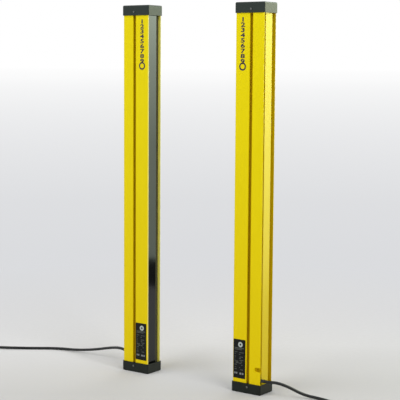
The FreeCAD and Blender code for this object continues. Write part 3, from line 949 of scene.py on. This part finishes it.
class LIGHT_CURTAIN_OT_stage(bpy.types.Operator):
    """Sets the camera, the pale floor, the reflected panel, the lamps and the world"""

    bl_idname = "light_curtain.stage"
    bl_label = "Stage"

    def execute(self, context):
        scene = context.scene
        scene.view_settings.view_transform = "Standard"
        self.camera(scene)
        self.floor()
        self.panel()
        self.lamps(scene)
        self.world(scene)
        return {"FINISHED"}

    def camera(self, scene):
        """A level view turned, dipped and rolled by the settings' angles."""
        s = stage_settings()
        data = bpy.data.cameras.new("camera")
        data.sensor_width = 36.0
        data.lens = s.lens
        data.clip_start, data.clip_end = 0.05, 900.0
        camera = bpy.data.objects.new("camera", data)
        turn = Matrix.Rotation(s.camera_turn, 4, "Z")
        dip = Matrix.Rotation(math.pi / 2 - s.camera_dip, 4, "X")
        roll = Matrix.Rotation(s.camera_roll, 4, "Z")
        camera.matrix_world = Matrix.Translation(s.camera_place) @ turn @ dip @ roll
        scene.collection.objects.link(camera)
        scene.camera = camera

    def floor(self):
        """A flat disc: radius grows from 0 by equal ratios, and the point is radius (cos a, sin a).

        Round the pair it is lit paper, paler behind the pair as painted light, and beyond the reach
        of its shadows it glows by itself where it is seen, a little brighter with each doubling of
        the distance.
        """
        s = stage_settings()
        finish = Finish("pale_floor", Roughness=0.9, Specular_IOR_Level=0.2)
        x, y, _ = finish.axes()
        reach = finish.maths("SQRT", x * x + y * y)
        speckle = finish.noise(90.0, 3.0)
        sight_x, sight_y = 0.585, 0.811  # the level direction of the camera's view, to -X and +Y
        # painted light: paler floor behind the pair
        behind = finish.clamped(sight_y * y - sight_x * x, -0.12, 0.35)
        paper = finish.mix(s.floor, s.floor_behind, behind)
        lit = finish.mix(paper, s.floor, 0.12 * finish.clamped(speckle, 0.3, 0.7))
        finish.feed({"Base Color": lit})

        far = finish.maths("LOGARITHM", finish.maths("MAXIMUM", reach, 1.0), s.floor_radius)
        greys = [
            (0.0, 0.710), (0.1115, 0.715), (0.216, 0.735), (0.3366, 0.795), (0.516, 0.885),
            (0.70, 0.96), (1.0, 1.0),
        ]
        less_red, more_blue = 0.03, 0.07  # in black, and less the paler a grey is
        stops = [(at, (v - less_red * (1 - v), v, v + more_blue * (1 - v))) for at, v in greys]
        fade = finish.ramp(far, stops)
        glow = finish.get("ShaderNodeEmission", None, {"Color": fade, "Strength": 1.0})
        lit_reach, glow_reach = 0.5, 1.6
        glowing = finish.shown() * finish.clamped(reach, lit_reach, glow_reach)
        sockets = {0: glowing, 1: finish.surface, 2: glow}
        finish.show(finish.get("ShaderNodeMixShader", None, sockets))

        rings, spokes, first_ring = 24, 96, 0.5
        radius = np.concatenate([[0.0], np.geomspace(first_ring, s.floor_radius, rings)])
        angle = np.linspace(0, 2 * math.pi, spokes, endpoint=False)
        across, along = np.outer(radius, np.cos(angle)), np.outer(radius, np.sin(angle))
        points = np.stack([across, along, np.zeros_like(across)], axis=-1).reshape(-1, 3)
        faces = grid_faces(rings + 1, spokes, False, True)[:, ::-1]
        floor = piece("stage_floor", [(points, faces, 0)], [finish.material])
        if floor.data.polygons[0].normal.z < 0:
            floor.data.flip_normals()

    def panel(self):
        """An upright bright sheet behind the right of the pair, and a dark board before its foot.

        Only gloss shows them: the sheet stands for the bright wall that the windows mirror, and the
        board is painted shade at the wall's foot.
        """
        material = bpy.data.materials.new("bright_panel")
        material.use_nodes = True
        sheet = Sheet(material.node_tree)
        x, _, z = sheet.axes()
        rise = sheet.clamped(z, 0.0, 1.4)
        left = [
            (0.0, 0.28), (0.05, 0.29), (0.15, 0.30), (0.32, 0.36), (0.5, 0.65), (0.62, 1.0),
            (1.0, 1.0),
        ]
        right = [
            (0.0, 0.30), (0.05, 0.33), (0.15, 0.40), (0.32, 0.56), (0.5, 0.80), (0.62, 0.96),
            (1.0, 0.96),
        ]
        left_tint, right_tint = (0.86, 1.0, 0.82), (1.0, 1.0, 0.66)
        ramps = [
            sheet.ramp(rise, [(at, tuple(v * part for part in tint)) for at, v in stops])
            for stops, tint in ((left, left_tint), (right, right_tint))
        ]
        shade = sheet.mix(ramps[0], ramps[1], sheet.clamped(x, 0.60, 0.80))
        glow = sheet.get("ShaderNodeEmission", None, {"Color": shade, "Strength": 7.4})
        sheet.node("ShaderNodeOutputMaterial", None, {"Surface": glow})
        # painted shade: a dark board standing for the shade at the foot of the bright wall
        dark = moulded("foot_shade_board", (0.004, 0.004, 0.004), (0.006, 0.006, 0.006), 0.9)
        foot, count = 0.0005, 12
        for name, x0, x1, y, high, finish in (
            ("stage_panel", 0.15, 2.4, 0.93, 1.9, material),
            ("stage_foot_shade", 0.15, 0.64, 0.85, 0.088, dark),
        ):
            across, up = np.linspace(x0, x1, count), np.linspace(foot, high, count)
            u, v = np.meshgrid(across, up, indexing="ij")
            points = np.stack([u, np.full_like(u, y), v], axis=-1).reshape(-1, 3)
            made = piece(name, [(points, grid_faces(count, count), 0)], [finish])
            made.visible_camera = False
            made.visible_diffuse = False
            made.visible_shadow = False
            made.visible_transmission = False

    def lamps(self, scene):
        """Three large soft lamps, each aimed at the middle of the pair."""
        s = stage_settings()
        target = Vector((0.0, 0.0, 0.42))
        for name, place, width, watts in (
            ("key_lamp", (-1.2, -2.9, 2.6), 3.0, s.key),
            ("side_lamp", (3.0, -1.2, 2.2), 2.0, s.side),
            ("back_lamp", (-0.9, 3.2, 2.4), 2.4, s.back),
        ):
            data = bpy.data.lights.new(name, "AREA")
            data.shape = "SQUARE"
            data.size = width
            data.energy = watts
            lamp = bpy.data.objects.new(name, data)
            aim = (target - Vector(place)).to_track_quat("-Z", "Y").to_matrix().to_4x4()
            lamp.matrix_world = Matrix.Translation(place) @ aim
            lamp.visible_glossy = False
            scene.collection.objects.link(lamp)

    def world(self, scene):
        """White where it is seen directly, mirrored or through something, and else a plain fill."""
        world = bpy.data.worlds.new("pale_room")
        world.use_nodes = True
        sheet = Sheet(world.node_tree)
        fill = stage_settings().sky
        strength = fill + (1.0 - fill) * sheet.shown()
        background = sheet.get(
            "ShaderNodeBackground", None, {"Color": (1.0, 1.0, 1.0), "Strength": strength}
        )
        sheet.node("ShaderNodeOutputWorld", None, {"Surface": background})
        scene.world = world


STEPS = (
    LIGHT_CURTAIN_OT_stage,
    LIGHT_CURTAIN_OT_cables,
    LIGHT_CURTAIN_OT_bodies,
    LIGHT_CURTAIN_OT_windows,
    LIGHT_CURTAIN_OT_caps,
    LIGHT_CURTAIN_OT_inside,
    LIGHT_CURTAIN_OT_labels,
    LIGHT_CURTAIN_OT_numerals,
)


class LIGHT_CURTAIN_PT_sidebar(bpy.types.Panel):
    """Lists the steps and their settings"""

    bl_idname = "LIGHT_CURTAIN_PT_sidebar"
    bl_label = "Light Curtain"
    bl_space_type = "VIEW_3D"
    bl_region_type = "UI"
    bl_category = "Light Curtain"

    def draw(self, context):
        for step in STEPS:
            self.layout.operator(step.bl_idname)
        for group in (finishes(), sizes(), stage_settings()):
            box = self.layout.box()
            for name in group.__annotations__:
                box.prop(group, name)


GROUPS = {
    "light_curtain_finishes": LightCurtainFinishes,
    "light_curtain_sizes": LightCurtainSizes,
    "light_curtain_stage": LightCurtainStage,
}


def register():
    for cls in (*GROUPS.values(), *STEPS, LIGHT_CURTAIN_PT_sidebar):
        bpy.utils.register_class(cls)
    for name, group in GROUPS.items():
        setattr(bpy.types.Scene, name, PointerProperty(type=group))


def unregister():
    for name in GROUPS:
        delattr(bpy.types.Scene, name)
    for cls in (LIGHT_CURTAIN_PT_sidebar, *reversed(STEPS), *reversed(GROUPS.values())):
        bpy.utils.unregister_class(cls)


def main():
    register()
    for step in STEPS:
        group, name = step.bl_idname.split(".")
        getattr(getattr(bpy.ops, group), name)()


if __name__ == "__main__":
    main()
